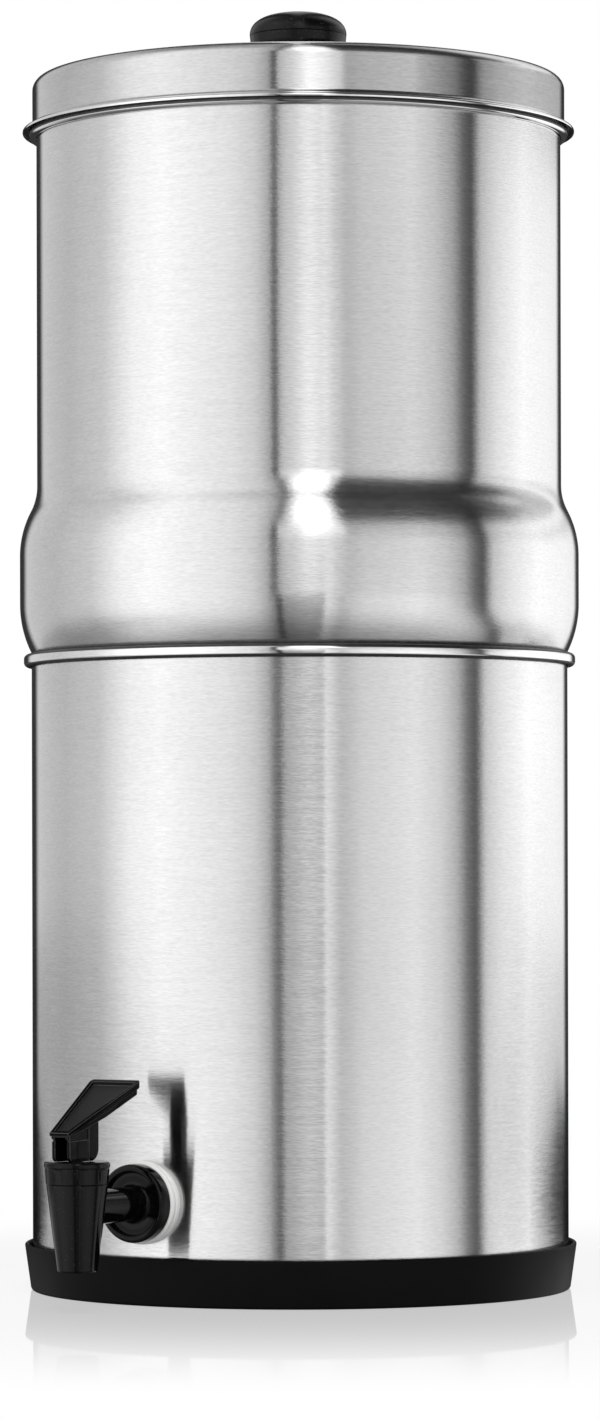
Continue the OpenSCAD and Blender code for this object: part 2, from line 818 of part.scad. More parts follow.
lid_hole_r = knob_screw_d / 2 + 0.2;
lid_flat_r = knob_foot_d / 2 + 1;   // flat middle that the knob stands on
flare_bend_z = flare_z + flare_in_r * tan(lid_flare_angle / 2);
flare_turn_r = lip_r - flare_out_r * cos(flare_tip);   // centre of the bend near the edge
flare_end_r = flare_turn_r + flare_out_r * cos(lid_flare_angle);
flare_end_z = flare_z - (flare_end_r - lid_r) / tan(lid_flare_angle);
flare_turn_z = flare_end_z - flare_out_r * sin(lid_flare_angle);

// One skin of the lid from the screw hole out to the edge; t is the depth below the outer skin
function lid_skin(t) =
    let (crown_r = lid_r - lid_shoulder_r, steps = 6)
    concat(
        [[lid_hole_r, lid_top_z - t]],
        [for (i = [0:steps - 1])
            let (r = lid_flat_r + (crown_r - lid_flat_r) * i / steps)
            [r, lid_edge_z - t + lid_crown_h * (1 - pow((r - lid_flat_r) / (crown_r - lid_flat_r), 2))]],
        arc(crown_r, lid_edge_z - lid_shoulder_r, lid_shoulder_r - t, 90, 0, 11.25),
        arc(lid_r + flare_in_r, flare_bend_z, flare_in_r + t, 180, 180 + lid_flare_angle, corner_step),
        arc(flare_turn_r, flare_turn_z, flare_out_r - t, lid_flare_angle, flare_tip, 10)
    );

module lid_pan() {
    color(steel)
        between_skins(lid_skin(0), lid_skin(lid_t));
}

// The head above its widest part is a superellipse, so that it looks like a flattened bun
module lid_knob() {
    head_r = knob_d / 2;
    dome_h = knob_h - knob_equator_h;
    fullness = 2.4;
    under_h = knob_equator_h - 3.2;
    waist_h = 6;
    color(black_plastic)
        translate([0, 0, lid_top_z])
            difference() {
                rotate_extrude()
                    polygon(concat(
                        [[0, 0], [knob_foot_d / 2, 0], [knob_foot_d / 2, 1.2]],
                        [[knob_waist_d / 2 + 0.6, waist_h - 2], [knob_waist_d / 2, waist_h]],
                        [[knob_waist_d / 2 + 0.4, waist_h + 1.6], [knob_waist_d / 2 + 2, waist_h + 3]],
                        arc(head_r - 2.6, under_h, 2.4, -90, 0, corner_step),
                        [[head_r - 0.2, knob_equator_h - 0.6], [head_r, knob_equator_h]],
                        [for (a = [6:6:84])
                            [head_r * pow(cos(a), 2 / fullness), knob_equator_h + dome_h * pow(sin(a), 2 / fullness)]],
                        [[0, knob_h]]
                    ));
                translate([0, 0, -1])
                    cylinder(d = knob_screw_d + 2 * run_gap, h = knob_screw_reach + 2);
            }
}

knob_washer_t = 1.2;
knob_under_z = lid_top_z - lid_t;   // underside of the lid's flat middle

module knob_washer() {
    color(white_silicone)
        translate([0, 0, knob_under_z - knob_washer_t])
            ring(knob_screw_d + 2.5, knob_screw_d / 2 + 0.2, knob_washer_t);
}

module knob_screw() {
    head_z = knob_under_z - knob_washer_t;
    head_h = knob_screw_d * 0.6;
    slot_w = knob_screw_d * 0.2;
    color(steel)
        difference() {
            union() {
                translate([0, 0, head_z - head_h])
                    cylinder(r1 = knob_screw_d * 0.7, r2 = knob_screw_d * 0.95, h = head_h);
                translate([0, 0, head_z - 0.01])
                    cylinder(d = knob_screw_d, h = lid_t + knob_washer_t + knob_screw_reach);
            }
            for (turn = [0, 90])
                rotate([0, 0, turn])
                    translate([-knob_screw_d / 2, -slot_w / 2, head_z - head_h - 1])
                        cube([knob_screw_d, slot_w, 1 + head_h / 2]);
        }
}

rubber_base();
lower_chamber();
tap_outer_washer();
tap_inner_washer();
tap_nut();
tap_body();
tap_bonnet();
seat_cup();
valve_stem();
stem_pin();
valve_spring();
lever_handle();
upper_chamber();
filter_shell();
filter_carbon();
filter_cap();
filter_washer();
filter_wing_nut();
hole_plugs();
lid_pan();
lid_knob();
knob_washer();
knob_screw();
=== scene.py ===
# Gravity water filter: two stacked steel chambers on a rubber base, a lid with a knob, a filter element
# between the chambers and a lever tap. Sizes are in millimetres and become metres when a mesh is made.
import math

import bmesh
import bpy
from mathutils import Matrix, Vector


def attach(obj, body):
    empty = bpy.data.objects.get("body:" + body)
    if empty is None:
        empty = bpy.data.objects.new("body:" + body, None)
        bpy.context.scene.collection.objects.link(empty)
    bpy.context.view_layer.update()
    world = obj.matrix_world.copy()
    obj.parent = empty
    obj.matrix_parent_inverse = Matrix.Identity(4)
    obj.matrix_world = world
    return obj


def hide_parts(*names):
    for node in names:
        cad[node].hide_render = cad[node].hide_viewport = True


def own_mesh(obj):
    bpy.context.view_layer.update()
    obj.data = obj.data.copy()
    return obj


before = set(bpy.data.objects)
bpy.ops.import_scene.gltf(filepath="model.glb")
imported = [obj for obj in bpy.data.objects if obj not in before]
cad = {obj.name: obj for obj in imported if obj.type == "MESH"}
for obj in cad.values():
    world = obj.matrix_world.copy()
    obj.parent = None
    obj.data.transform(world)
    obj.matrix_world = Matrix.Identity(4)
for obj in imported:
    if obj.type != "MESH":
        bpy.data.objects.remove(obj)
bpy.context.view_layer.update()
scene = bpy.context.scene
mm = 0.001


# ---- Camera ----
# A long lens, level with the lower chamber. The frame is shifted up so that upright edges stay upright.
camera_turn = math.radians(34)
camera_distance = 2.265
camera_height = 0.1793
camera_roll = math.radians(0.13)

camera = bpy.data.objects.new("camera", bpy.data.cameras.new("camera"))
camera.data.sensor_width = 36
camera.data.lens = 134.5
camera.data.shift_y = 0.1117
camera.location = (
    camera_distance * math.sin(camera_turn),
    -camera_distance * math.cos(camera_turn),
    camera_height,
)
camera.rotation_euler = (math.pi / 2, camera_roll, camera_turn)
scene.collection.objects.link(camera)
scene.camera = camera
scene.view_settings.view_transform = "Standard"


# ---- Studio ----
# Plain soft light from all round, as from a ring of tall softboxes with gaps between them. The floor is pale
# and glossy, and dark boards stand behind the vessel.
class Wire:
    """One socket of a shader. Arithmetic on it adds Math nodes, and add() makes any other node."""

    def __init__(self, tree, socket=None):
        self.tree = tree
        self.socket = socket

    def add(self, kind, settings=None, sockets=None, out=0):
        """A new node with its settings made first, then the values or links of its sockets."""
        node = self.tree.nodes.new(kind)
        for name, value in (settings or {}).items():
            if name == "stops":
                self.set_stops(node.color_ramp, value)
            else:
                setattr(node, name, value)
        for name, value in (sockets or {}).items():
            if isinstance(value, Wire):
                self.tree.links.new(value.socket, node.inputs[name])
            else:
                node.inputs[name].default_value = value
        return Wire(self.tree, node.outputs[out] if node.outputs else None)

    def set_stops(self, ramp, stops):
        """Grey stops of a colour ramp, as (place, level) in rising order."""
        ramp.elements.remove(ramp.elements[-1])
        for i, (place, level) in enumerate(stops):
            stop = ramp.elements[0] if i == 0 else ramp.elements.new(place)
            stop.position = place
            stop.color = (level, level, level, 1)

    def math(self, operation, *values, clamp=False):
        settings = {"operation": operation, "use_clamp": clamp}
        return self.add("ShaderNodeMath", settings, dict(enumerate(values)))

    def __add__(self, other):
        return self.math("ADD", self, other)

    def __radd__(self, other):
        return self.math("ADD", other, self)

    def __sub__(self, other):
        return self.math("SUBTRACT", self, other)

    def __rsub__(self, other):
        return self.math("SUBTRACT", other, self)

    def __mul__(self, other):
        return self.math("MULTIPLY", self, other)

    def __rmul__(self, other):
        return self.math("MULTIPLY", other, self)

    def __truediv__(self, other):
        return self.math("DIVIDE", self, other)

    def __pow__(self, other):
        return self.math("POWER", self, other)

    def rise(self, low, high):
        """0 below low and 1 above high, with a smooth step between them; low may be the larger."""
        limits = {0: self, 1: low, 2: high}
        return self.add("ShaderNodeMapRange", {"interpolation_type": "SMOOTHSTEP"}, limits)

    def split(self):
        parts = self.add("ShaderNodeSeparateXYZ", {}, {0: self})
        return [Wire(self.tree, parts.socket.node.outputs[i]) for i in range(3)]

    def join(self, x, y, z):
        return self.add("ShaderNodeCombineXYZ", {}, {0: x, 1: y, 2: z})

    def blend(self, low, high):
        """The colour low where this is 0 and high where it is 1."""
        return self.add("ShaderNodeMix", {"data_type": "RGBA"}, {0: self, 6: low, 7: high}, out=2)

    def noise(self, scale, detail=2, rough=0.5):
        """Noise at the places that this gives."""
        sockets = {"Vector": self, "Scale": scale, "Detail": detail, "Roughness": rough}
        return self.add("ShaderNodeTexNoise", {}, sockets)


def grey(level):
    return (level, level, level, 1)


# Light levels round the room, by the turn from the camera's own direction in degrees, counted to the right.
room_levels = [
    (-158, 0.04),
    (-151, 0.75),
    (-120, 0.68),
    (-95, 0.84),
    (-77, 1.32),
    (-62, 1.44),
    (-30, 1.12),
    (-19, 0.90),
    (-12, 0.54),
    (-11.2, 0.10),
    (-9.8, 0.06),
    (-9, 0.90),
    (-4, 1.04),
    (1, 1.27),
    (6, 1.22),
    (10, 1.00),
    (15.5, 0.68),
    (27, 1.00),
    (50, 1.22),
    (62, 1.00),
    (70, 0.68),
    (75.5, 0.25),
    (81, 0.10),
    (86, 0.90),
    (95, 1.15),
    (115, 1.50),
    (140, 1.30),
    (155, 1.10),
    (161, 0.05),
    (168, 0.05),
]
# The same high up, where the softboxes end
high_levels = [
    (-168, 0.05),
    (-158, 0.04),
    (-151, 0.70),
    (-126, 0.66),
    (-95, 0.84),
    (-77, 1.28),
    (-62, 1.40),
    (-45, 1.22),
    (-30, 1.08),
    (-19, 0.88),
    (-12.5, 0.56),
    (-8.5, 0.20),
    (-5, 0.90),
    (-1, 1.90),
    (5, 2.20),
    (13, 1.80),
    (19, 0.08),
    (60, 0.07),
    (88, 0.03),
    (104, 0.14),
    (118, 0.85),
    (130, 1.25),
    (145, 1.05),
    (155, 0.80),
    (161, 0.05),
]

world = bpy.data.worlds.new("studio")
world.use_nodes = True
world.node_tree.nodes.clear()
scene.world = world
sky = Wire(world.node_tree)
east, north, up = sky.add("ShaderNodeTexCoord").split()
to_right = east * math.cos(camera_turn) + north * math.sin(camera_turn)
to_camera = east * math.sin(camera_turn) - north * math.cos(camera_turn)
angle = to_right.math("ARCTAN2", to_right, to_camera) * (180 / math.pi)

# The front softbox is a little askew low down, and the dark gap on the right leans over towards the floor
front_skew = 2.2 * up.rise(0.06, 0.0) * angle.rise(-13, -9) * angle.rise(24, 15)
gap_lean = 24 * up.rise(-0.1, -0.6) * angle.rise(48, 75) * angle.rise(145, 115)
turn = (angle - front_skew - gap_lean) / 360 + 0.5


def round_the_room(levels):
    """The light in a direction, from a list of levels round the room."""
    stops = [(degrees / 360 + 0.5, level) for degrees, level in levels]
    return turn.add("ShaderNodeValToRGB", {"stops": stops}, {"Fac": turn})


# Less light comes from below, from the foot of the front softbox, from overhead, from the low left and from
# the upper right. A small lamp stands high in front.
below = 1 - 0.72 * up.rise(-0.22, -0.75)
front_strip = angle.rise(-10, -8) * angle.rise(11.2, 9.5)
front_foot = 1 - front_strip * (0.56 * up.rise(0.09, -0.04) + 0.06 * up.rise(-0.02, -0.3))
overhead = 1 - 0.55 * up.rise(0.72, 0.93)
low_left = 1 - 0.3 * up.rise(-0.12, -0.45) * angle.rise(-68, -112)
right_wall = 0.18 * up.rise(0.02, 0.08) * angle.rise(100, 80)
right_band = 0.3 * up.rise(0.12, 0.19) * up.rise(0.25, 0.20)
upper_right = 1 - angle.rise(14, 24) * (right_wall + right_band)
lamp = 0.7 * up.rise(0.13, 0.17) * angle.rise(-1, 5) * angle.rise(21, 17)
low_light = round_the_room(room_levels) * below * front_foot * low_left * upper_right + lamp
light = up.rise(0.30, 0.48).blend(low_light, round_the_room(high_levels) * overhead)

# The middle of the back wall is white, so that the floor's mirror shows white
back_edge = 175
back_full = 176.5
back = (angle * angle).rise(back_edge**2, back_full**2) * up.rise(0.0, 0.03)
light = back.blend(light, grey(1))
seen = sky.add("ShaderNodeLightPath", out=0)
lit = sky.add("ShaderNodeBackground", {}, {"Color": light, "Strength": 1.0})
white = sky.add("ShaderNodeBackground", {}, {"Color": grey(1), "Strength": 1.0})
shown = sky.add("ShaderNodeMixShader", {}, {0: seen, 1: lit, 2: white})
sky.add("ShaderNodeOutputWorld", {}, {"Surface": shown})

key_size = 0.9
key_power = 24
key_place = (0.985, -1.26, 2.1)
key_aim = Vector((0, 0, 0.2))

key = bpy.data.objects.new("key_light", bpy.data.lights.new("key_light", "AREA"))
key.data.shape = "RECTANGLE"
key.data.size = key_size
key.data.size_y = key_size
key.data.energy = key_power
key.location = key_place
key.visible_glossy = False
key.rotation_euler = (key_aim - key.location).to_track_quat("-Z", "Y").to_euler()
scene.collection.objects.link(key)

floor_radius = 6.0
floor_grey = 0.62
floor_white = 0.80
white_from = 0.16
white_full = 0.5
mirror_rough = 0.03
mirror_strength = 0.36
mirror_near = 0.13
mirror_far = 0.46

bm = bmesh.new()
bmesh.ops.create_circle(bm, cap_ends=True, segments=96, radius=floor_radius)
floor = bpy.data.objects.new("floor", bpy.data.meshes.new("floor"))
bm.to_mesh(floor.data)
bm.free()
scene.collection.objects.link(floor)
floor.visible_glossy = False

floor_paint = bpy.data.materials.new("floor_paint")
floor_paint.use_nodes = True
floor_paint.node_tree.nodes.clear()
floor.data.materials.append(floor_paint)
ground = Wire(floor_paint.node_tree)
across, along, _ = ground.add("ShaderNodeTexCoord", out=3).split()
from_middle = (across * across + along * along) ** 0.5
seen = ground.add("ShaderNodeLightPath", out=0)
matt = ground.add("ShaderNodeBsdfDiffuse", {}, {"Color": grey(floor_grey)})
bright = ground.add("ShaderNodeEmission", {}, {"Color": grey(1), "Strength": 1.0})
# Near the middle less white is mixed in, so the floor shows more of its matt shading: the real shadow, and a
# painted darker pool round the object
white_share = floor_white + (1 - floor_white) * from_middle.rise(white_from, white_full)
pale = ground.add("ShaderNodeMixShader", {}, {0: seen * white_share, 1: matt, 2: bright})
gloss = ground.add("ShaderNodeBsdfGlossy", {}, {"Color": grey(1), "Roughness": mirror_rough})
mirror = from_middle.rise(mirror_far, mirror_near) * mirror_strength
surface = ground.add("ShaderNodeMixShader", {}, {0: mirror, 1: pale, 2: gloss})
ground.add("ShaderNodeOutputMaterial", {}, {"Surface": surface})

board_radius = 0.75
board_end = 166
board_step = 4
board_grey = 0.02
board_taper = 2


def board(name, low, high, start, full, share):
    """A board behind the vessel that only reflections see. It curves round from start to board_end degrees,
    counted from the camera's direction, has its full height from full on, and stops a share of the light.
    With a share below 0 it stands on the left."""
    bm = bmesh.new()
    posts = []
    for degrees in range(start, board_end + 1, board_step):
        a = math.copysign(math.radians(degrees), share) + camera_turn - math.pi / 2
        half = (high - low) / 2 * min(1, (degrees - start + board_taper) / (full - start + board_taper))
        x, y = board_radius * math.cos(a), board_radius * math.sin(a)
        posts.append([bm.verts.new((x, y, (low + high) / 2 + side * half)) for side in (-1, 1)])
    for one, two in zip(posts, posts[1:]):
        bm.faces.new([one[0], two[0], two[1], one[1]])
    made = bpy.data.objects.new(name, bpy.data.meshes.new(name))
    bm.to_mesh(made.data)
    bm.free()
    scene.collection.objects.link(made)
    made.visible_camera = False
    made.visible_diffuse = False
    made.visible_shadow = False
    paint = bpy.data.materials.new(name)
    paint.use_nodes = True
    paint.node_tree.nodes.clear()
    made.data.materials.append(paint)
    wire = Wire(paint.node_tree)
    clear = wire.add("ShaderNodeBsdfTransparent", {}, {"Color": grey(1)})
    black = wire.add("ShaderNodeBsdfDiffuse", {}, {"Color": grey(board_grey)})
    mixed = wire.add("ShaderNodeMixShader", {}, {0: abs(share), 1: clear, 2: black})
    wire.add("ShaderNodeOutputMaterial", {}, {"Surface": mixed})


# Two black boards stand low behind, and three sheer ones reach further round to the sides
board("black_board", -0.060, 0.050, 108, 136, 1.0)
board("dark_board", -0.060, 0.050, 130, 146, -1.0)
board("right_board", -0.060, 0.125, 84, 100, 0.28)
board("left_board", -0.060, 0.135, 40, 90, -0.32)
board("high_board", 0.56, 0.76, 48, 60, 0.42)


# ---- Rubber base ----
# A shallow cup of black rubber, moulded in one piece with a satin skin. The lower chamber stands in it.
base_floor = 2.5
base_wall = 1.8
base_height = 20.0
base_lean = math.tan(math.radians(8))
base_flat_r = 40
base_foot_r = 1.6
base_fillet = 0.8
base_in_low = 113.53


def arc(r, z, radius, start, end, step=5):
    """Points round (r, z) from one angle to another, in degrees."""
    count = max(2, math.ceil(abs(end - start) / step))
    angles = [math.radians(start + (end - start) * i / count) for i in range(count + 1)]
    return [(r + radius * math.cos(a), z + radius * math.sin(a)) for a in angles]


def rounded(corners, step=12):
    """An outline through corners (r, z, radius), each rounded by its radius where that isn't 0."""
    points = []
    for i, (r, z, radius) in enumerate(corners):
        here = Vector((r, z))
        if radius == 0:
            points.append((r, z))
            continue
        before = (Vector(corners[i - 1][:2]) - here).normalized()
        after = (Vector(corners[(i + 1) % len(corners)][:2]) - here).normalized()
        half = before.angle(after) / 2
        middle = here + (before + after).normalized() * radius / math.sin(half)
        start = here + before * radius / math.tan(half) - middle
        end = here + after * radius / math.tan(half) - middle
        swing = start.angle_signed(end)
        count = max(2, math.ceil(math.degrees(abs(swing)) / step))
        first = math.atan2(start.y, start.x)
        for k in range(count + 1):
            a = first - swing * k / count
            points.append((middle.x + radius * math.cos(a), middle.y + radius * math.sin(a)))
    return points


def object_from(bm, name, sharp):
    """Turns a bmesh into an object with smooth faces, and hard edges at more than sharp degrees."""
    bmesh.ops.recalc_face_normals(bm, faces=bm.faces)
    for face in bm.faces:
        face.smooth = True
    for edge in bm.edges:
        edge.smooth = len(edge.link_faces) == 2 and edge.calc_face_angle() < math.radians(sharp)
    piece = bpy.data.objects.new(name, bpy.data.meshes.new(name))
    bm.to_mesh(piece.data)
    bm.free()
    scene.collection.objects.link(piece)
    return piece


def lathe(name, outline, turns=96, sharp=35, place=Matrix.Identity(4)):
    """A closed outline of (radius, height) turned about the upright axis, then put in its place."""
    bm = bmesh.new()
    angles = [2 * math.pi * k / turns for k in range(turns)]
    rings = []
    for r, z in outline:
        spokes = angles if r > 1e-4 else [0]
        rings.append([bm.verts.new((r * math.cos(a) * mm, r * math.sin(a) * mm, z * mm)) for a in spokes])
    for low, high in zip(rings, rings[1:] + rings[:1]):
        if len(low) == 1 and len(high) == 1:
            continue
        for k in range(turns):
            j = (k + 1) % turns
            corners = [low[k % len(low)], high[k % len(high)], high[j % len(high)], low[j % len(low)]]
            bm.faces.new(dict.fromkeys(corners))
    bm.transform(place)
    return object_from(bm, name, sharp)


def material(name, plain, varied):
    """A shader with plain sockets, and with sockets that varied() works out from the place on the object."""
    made = bpy.data.materials.new(name)
    made.use_nodes = True
    made.node_tree.nodes.clear()
    wire = Wire(made.node_tree)
    spot = wire.add("ShaderNodeTexCoord", out=3)
    shader = wire.add("ShaderNodeBsdfPrincipled", {}, {**plain, **varied(spot)})
    wire.add("ShaderNodeOutputMaterial", {}, {"Surface": shader})
    return made


def bump(height, depth):
    """A normal from a height of 0 to 1 that stands for a depth in millimetres."""
    return height.add("ShaderNodeBump", {}, {"Strength": 1.0, "Distance": depth * mm, "Height": height})


def fit(piece, skin, slot, body, *replaced):
    """Gives a piece its material, and says what it rides on and which CAD nodes it stands for. slot is not
    used.
    """
    piece.data.materials.append(skin)
    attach(piece, body)
    if replaced:
        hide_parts(*replaced)


def rubber_skin(spot):
    cloud = spot.noise(38, 3)
    grain = spot.noise(2600, 2)
    return {
        "Base Color": cloud.blend(grey(0.002), grey(0.005)),
        "Roughness": 0.42 + 0.16 * cloud,
        "Normal": bump(grain, 0.02),
    }


base_rubber = material("base_rubber", {"Specular IOR Level": 0.06}, rubber_skin)
base_out_low = base_in_low + base_wall
base_lip = base_wall / 2
base_rise = base_height - base_lip
base_lip_r = base_in_low + base_lean * (base_rise - base_floor) + base_lip
base_outside = [
    (base_flat_r, 0, 0),
    (base_out_low - base_floor * base_lean, 0, base_foot_r),
    (base_lip_r + base_lip, base_rise, 0),
]
base_inside = [
    (base_lip_r - base_lip, base_rise, 0),
    (base_in_low, base_floor, base_fillet),
    (0, base_floor, 0),
]
base_edge = arc(base_lip_r, base_rise, base_lip, 15, 165, 15)
base_outline = [(0, 0)] + rounded(base_outside) + base_edge + rounded(base_inside)
base = lathe("rubber_base_cup", base_outline, turns=256)
fit(base, base_rubber, "base_rubber", "lower_unit", "rubber_base")


# ---- Lower chamber ----
# A pot of 0.8 mm stainless sheet, drawn and spun, then brushed all the way round. Its rim is rolled outwards
# into a polished bead, and the tap goes through a hole near the foot.
sheet = 0.8
lower_r = 114.3
lower_foot = 2.5
lower_top = 270.5
lower_corner = 7.0
rim_curl = -115
lower_rim = 2.05
lower_rim_flat = 1.4
tap_z = 42.5
tap_hole = 16.6
tap_band = 16


def steel_skin(rough, wave, tone=1.0):
    """Steel brushed round the vessel's axis: streaks, finer hairs, clouds and dents of wave millimetres."""

    def varied(spot):
        x, y, z = spot.split()
        from_axis = (x * x + y * y) ** 0.5
        streaks = spot.join(x * 60, y * 60, (z + from_axis) * 900).noise(1, 3, 0.6)
        hairs = spot.join(x * 330, y * 330, (z + from_axis) * 1900).noise(1, 2)
        cloud = spot.noise(11, 2)
        shade = streaks * 0.3 + hairs * 0.5 + cloud * 0.2
        dents = spot.join(x * 13, y * 13, z * 7).noise(1, 1)
        return {
            "Base Color": shade.blend(grey(0.45 * tone), grey(0.89 * tone)),
            "Roughness": rough + 0.07 * (streaks - 0.5) + 0.03 * (hairs - 0.5),
            "Normal": bump(dents + 0.16 * hairs, wave),
        }

    return varied


brushed = {"Metallic": 1.0, "Anisotropic": 1.0, "Anisotropic Rotation": 0.25}
brushed_rough = 0.145
brushed_steel = material("brushed_steel", brushed, steel_skin(brushed_rough, 0.13))
rim_steel = material("rim_steel", {"Metallic": 1.0}, steel_skin(0.06, 0.02, 1.2))


def painted_shade_steel_skin(spot):
    """Steel painted dark for the shade of a rim: painted shade."""
    return {
        "Base Color": spot.noise(300, 2).blend(grey(0.05), grey(0.14)),
        "Roughness": 0.4 + 0.1 * spot.noise(90),
    }


# Painted shade: a dark steel for the faces that the rims shade
painted_shade_steel = material("painted_shade_steel", {"Metallic": 1.0}, painted_shade_steel_skin)


def rolled_rim(r, z, bead, flat, inset):
    """One skin of a rim rolled outwards, from the wall over the top and under."""
    return arc(r, z, bead - inset, 180, 0, 8) + arc(r, z - flat, bead - inset, 0, rim_curl, 8)


def lower_skin(depth):
    rim_r = lower_r - sheet + lower_rim
    rim_z = lower_top - lower_rim
    return (
        [(0, lower_foot + depth)]
        + arc(lower_r - lower_corner, lower_foot + lower_corner, lower_corner - depth, -90, 0, 6)
        + [(lower_r - depth, tap_z - tap_band), (lower_r - depth, tap_z + tap_band)]
        + rolled_rim(rim_r, rim_z, lower_rim, lower_rim_flat, sheet - depth)
    )


def settle(piece, sharp=35):
    """Makes a piece's modifiers part of its mesh and marks its hard edges again."""
    graph = bpy.context.evaluated_depsgraph_get()
    bm = bmesh.new()
    bm.from_object(piece, graph)
    piece.modifiers.clear()
    for face in bm.faces:
        face.smooth = True
    for edge in bm.edges:
        edge.smooth = len(edge.link_faces) == 2 and edge.calc_face_angle() < math.radians(sharp)
    bm.to_mesh(piece.data)
    bm.free()


def carve(piece, operation, *tools, sharp=35):
    """Joins tools to a piece, or cuts them out of it, and then throws them away."""
    for tool in tools:
        step = piece.modifiers.new("carve", "BOOLEAN")
        step.operation = operation
        step.object = tool
        step.solver = "EXACT"
    bpy.context.view_layer.update()
    settle(piece, sharp)
    for tool in tools:
        bpy.data.objects.remove(tool)


def drill(diameter, low, high, place=Matrix.Identity(4), turns=64):
    """A round cutter from one height to another."""
    r = diameter / 2
    return lathe("drill", [(0, low), (r, low), (r, high), (0, high)], turns, place=place)


def polish_rim_and_paint_shade(piece, low, r, shade_from, shade_to=1.1, shade_above=1.1):
    """Polishes the rim above a height and outside a radius. Faces that look down by one share to another get
    painted shade in dark steel, and so do faces that look up by more than a share."""
    piece.data.materials.append(rim_steel)
    piece.data.materials.append(painted_shade_steel)
    for face in piece.data.polygons:
        at = face.center
        if at.z > low * mm and math.hypot(at.x, at.y) > r * mm:
            shaded = shade_from < -face.normal.z < shade_to or face.normal.z > shade_above
            face.material_index = 2 if shaded else 1


tap_axis = Matrix.Translation((0, 0, tap_z * mm)) @ Matrix.Rotation(math.pi / 2, 4, "X")
lower = lathe("lower_pot", lower_skin(0) + lower_skin(sheet)[::-1], turns=256)
carve(lower, "DIFFERENCE", drill(tap_hole, lower_r / 2, lower_r * 2, tap_axis))
fit(lower, brushed_steel, "steel_sheet", "lower_unit", "lower_chamber")
rim_low = lower_top - 2 * lower_rim - lower_rim_flat - 1
# The bead's top and underside are painted dark as shade, for the gaps above and below it
polish_rim_and_paint_shade(lower, rim_low, lower_r - sheet - 0.1, 0.4, shade_above=0.35)


# ---- Tap fixing ----
# The tap's shank goes through the wall between two white silicone washers, and a nut inside the chamber
# clamps it.
washer_d = 34.0
washer_t = 4.2
washer_bore = 16.2
washer_groove = 0.7
washer_clear = 0.1
inner_washer_t = 3.0
inner_washer_d = 26.0
nut_flats = 24.0
nut_t = 8.0
nut_flange_t = 2
nut_flange_lap = 1
inner_wall = lower_r - sheet
nut_face = inner_wall - inner_washer_t


def silicone_skin(spot):
    cloud = spot.noise(120, 2)
    return {
        "Base Color": cloud.blend((0.86, 0.86, 0.85, 1), (0.90, 0.90, 0.89, 1)),
        "Roughness": 0.38 + 0.12 * cloud,
        "Normal": bump(spot.noise(700, 2), 0.03),
    }


white_silicone = material("white_silicone", {}, silicone_skin)


def curved_washer(name, d, wall, face, edge, node):
    """A washer between a round wall and a flat face, at their distances from the vessel's axis."""
    out, bore = d / 2, washer_bore / 2
    groove = [(out, 0.36), (out - washer_groove, 0.42), (out - washer_groove, 0.46), (out, 0.52)]
    profile = [(bore, 0), (out, 0), *groove, (out, 1), (bore, 1)]
    corners = [(r, wall + (face - wall) * share, edge * share) for r, share in profile]
    washer = lathe(name, rounded(corners, 15), place=tap_axis)
    for vert in washer.data.vertices:
        share = (-vert.co.y / mm - wall) / (face - wall)
        curved = math.sqrt(wall * wall - (vert.co.x / mm) ** 2)
        vert.co.y = -mm * (curved * (1 - share) + face * share)
    fit(washer, white_silicone, "white_silicone", "lower_unit", node)


outer_face = lower_r + washer_t
curved_washer("outer_washer", washer_d, lower_r + washer_clear, outer_face, 1.1, "tap_outer_washer")
curved_washer("inner_washer", inner_washer_d, inner_wall - washer_clear, nut_face, 0.5, "tap_inner_washer")


def plastic_skin(rough, dust):
    """Black moulded plastic with a share of pale dust on it."""

    def varied(spot):
        cloud = spot.noise(60, 3)
        speck = spot.noise(900, 1).rise(0.62, 0.72)
        return {
            "Base Color": (speck * dust).blend(grey(0.002), grey(0.03)),
            "Roughness": rough + 0.10 * cloud,
            "Normal": bump(spot.noise(240, 2), 0.012),
        }

    return varied


black_plastic = material("black_plastic", {"Specular IOR Level": 0.17}, plastic_skin(0.03, 0.3))


def bevel(piece, width, angle=30, segments=3, skin=-1):
    """Softens a piece's edges, and may give them a skin of their own."""
    step = piece.modifiers.new("bevel", "BEVEL")
    step.material = skin
    step.width = width * mm
    step.segments = segments
    step.limit_method = "ANGLE"
    step.angle_limit = math.radians(angle)
    bpy.context.view_layer.update()
    settle(piece)


nut_r = nut_flats / 2 / math.cos(math.pi / 6)
nut_low = nut_face - nut_t
nut_high = nut_face - nut_flange_lap
nut = lathe("hexagon", [(0, nut_low), (nut_r, nut_low), (nut_r, nut_high), (0, nut_high)], 6, sharp=20)
carve(nut, "UNION", drill(2 * nut_r, nut_face - nut_flange_t, nut_face, turns=96))
carve(nut, "DIFFERENCE", drill(washer_bore, nut_low - 1, nut_face + 1, turns=96))
bevel(nut, 0.5)
nut.data.transform(tap_axis)
fit(nut, black_plastic, "black_plastic", "lower_unit", "tap_nut")


# ---- Tap body ----
# One glossy black moulding: a threaded shank, a dished flange, an arm and a tapered spout with the valve's
# seat in it.
shank_d = 16.0
shank_end = inner_wall - 19.0
flange_d = 32.2
flange_back = outer_face
flange_face = flange_back + 6.0
flange_dish = 2.2
flange_rim = 2.6
flange_slope = 0.9
arm_d = 14.1
arm_overlap = 4
arm_bore = 8.6
spout_at = lower_r + 46.4
spout_low = tap_z - 25.5
spout_neck = tap_z + 9.8
neck_inset = 2
spout_tip_d = 16.2
spout_top_d = 25.0
outlet_d = 11.0
outlet_top = spout_low + 11.0
seat_z = outlet_top + 5.0
seat_hole = 7.0
valve_bore = 17.0
bonnet_top = spout_neck + 9.3
bonnet_roof = 3
body_top = bonnet_top - bonnet_roof - 1.2

